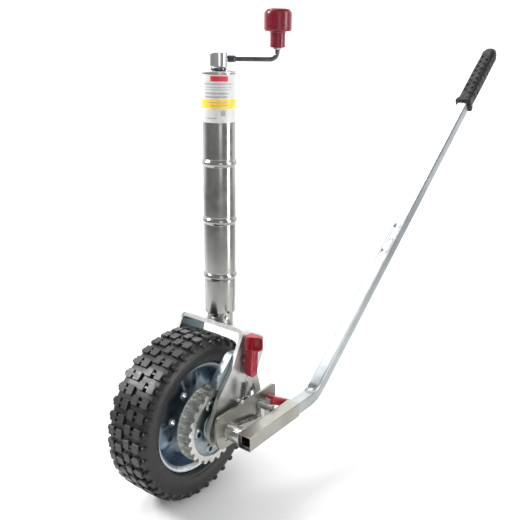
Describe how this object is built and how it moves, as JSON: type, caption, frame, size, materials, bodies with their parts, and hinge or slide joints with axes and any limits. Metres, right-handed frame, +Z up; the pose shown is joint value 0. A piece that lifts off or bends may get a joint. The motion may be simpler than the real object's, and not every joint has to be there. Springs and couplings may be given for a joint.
{
  "type": "tongue jack stand",
  "caption": "Trailer tongue jack: a screw jack tube on a swivelling wheel, with a crank on top and a long ratchet lever that turns the wheel to creep the trailer along.",
  "frame": {"origin": "on the axis of the jack tube, at the outer tube's lower end", "axes": "+Z up along the jack tube, Y along the wheel's axle with the ratchet and lever on the -Y side, +X towards the handle's grip"},
  "size_m": [1.1938, 0.2607, 0.901],
  "materials": {
    "zinc": "bright zinc plate",
    "steel": "machined",
    "dark_steel": "dark bright plate",
    "chrome": "polished",
    "rim": "blue zinc plate",
    "tyre": "moulded",
    "rubber": "moulded",
    "red_plastic": "dipped",
    "knob": "glossy",
    "label": "printed film",
    "nylon": "moulded"
  },
  "bodies": {
    "jack_tube": {"outer_tube": "zinc", "top_cap": "zinc", "label": "label"},
    "crank": {"lift_screw": "steel", "thrust_washer": "dark_steel", "crank_head": "chrome", "crank_rod": "dark_steel", "crank_collar": "dark_steel", "knob_clip": "steel"},
    "knob": {"knob": "knob"},
    "lift": {"lift_nut": "steel"},
    "fork": {"inner_tube": "zinc", "guide_ring": "nylon", "locking_pin": "steel", "fork": "zinc", "axle": "steel", "axle_washer": "zinc", "axle_nut": "zinc", "far_spacer": "steel", "near_spacer": "steel", "lever_washer": "zinc", "spring_pin": "zinc", "hold_spring": "steel"},
    "wheel": {"tyre": "tyre", "rim_well": "rim", "rim_disc": "rim", "hub": "steel", "bearing_near": "dark_steel", "bearing_far": "dark_steel", "ratchet_gear": "zinc", "dust_shield": "zinc", "gear_rivet_1": "zinc", "gear_rivet_2": "zinc", "gear_rivet_3": "zinc", "gear_rivet_4": "zinc", "gear_rivet_5": "zinc"},
    "hold_pawl": {"hold_pawl": "zinc", "hold_pawl_sleeve": "red_plastic"},
    "lever": {"lever_plate": "zinc", "lever_spacer": "steel", "retaining_pin": "zinc", "socket": "zinc", "drive_pawl_pin": "zinc", "drive_spring": "steel"},
    "drive_pawl": {"drive_pawl": "steel", "drive_pawl_tab": "red_plastic"},
    "handle": {"handle_bar": "zinc", "grip": "rubber"}
  },
  "joints": [
    {"name": "crank_turn", "type": "hinge", "parent": "jack_tube", "child": "crank", "pos_m": [0, 0, 0.47], "axis": [0, 0, -1], "range_deg": [0, 14400]},
    {"name": "knob_spin", "type": "hinge", "parent": "crank", "child": "knob", "pos_m": [0.06139, -0.08146, 0.52], "axis": [0, 0, 1], "continuous": true},
    {"name": "lift_slide", "type": "slide", "parent": "jack_tube", "child": "lift", "axis": [0, 0, -1], "range_m": [0, 0.2001]},
    {"name": "swivel", "type": "hinge", "parent": "lift", "child": "fork", "pos_m": [0, 0, 0], "axis": [0, 0, 1], "continuous": true},
    {"name": "wheel_spin", "type": "hinge", "parent": "fork", "child": "wheel", "pos_m": [-0.096, 0, -0.185], "axis": [0, 1, 0], "continuous": true},
    {"name": "hold_pawl_turn", "type": "hinge", "parent": "fork", "child": "hold_pawl", "pos_m": [-0.026, -0.08, -0.072], "axis": [0, 1, 0], "range_deg": [0, 8], "deforming": ["hold_spring"]},
    {"name": "lever_swing", "type": "hinge", "parent": "fork", "child": "lever", "pos_m": [-0.096, -0.1, -0.185], "axis": [0, 1, 0], "range_deg": [-3, 24]},
    {"name": "drive_pawl_turn", "type": "hinge", "parent": "lever", "child": "drive_pawl", "pos_m": [-0.0045, -0.09, -0.17], "axis": [0, 1, 0], "range_deg": [0, 10], "deforming": ["drive_spring"]},
    {"name": "handle_slide", "type": "slide", "parent": "lever", "child": "handle", "axis": [1, 0, 0], "range_m": [0, 0.16]}
  ],
  "couplings": [
    {"joint": "lift_slide", "follows": "crank_turn", "m_per_rad": 0.00079577}
  ]
}
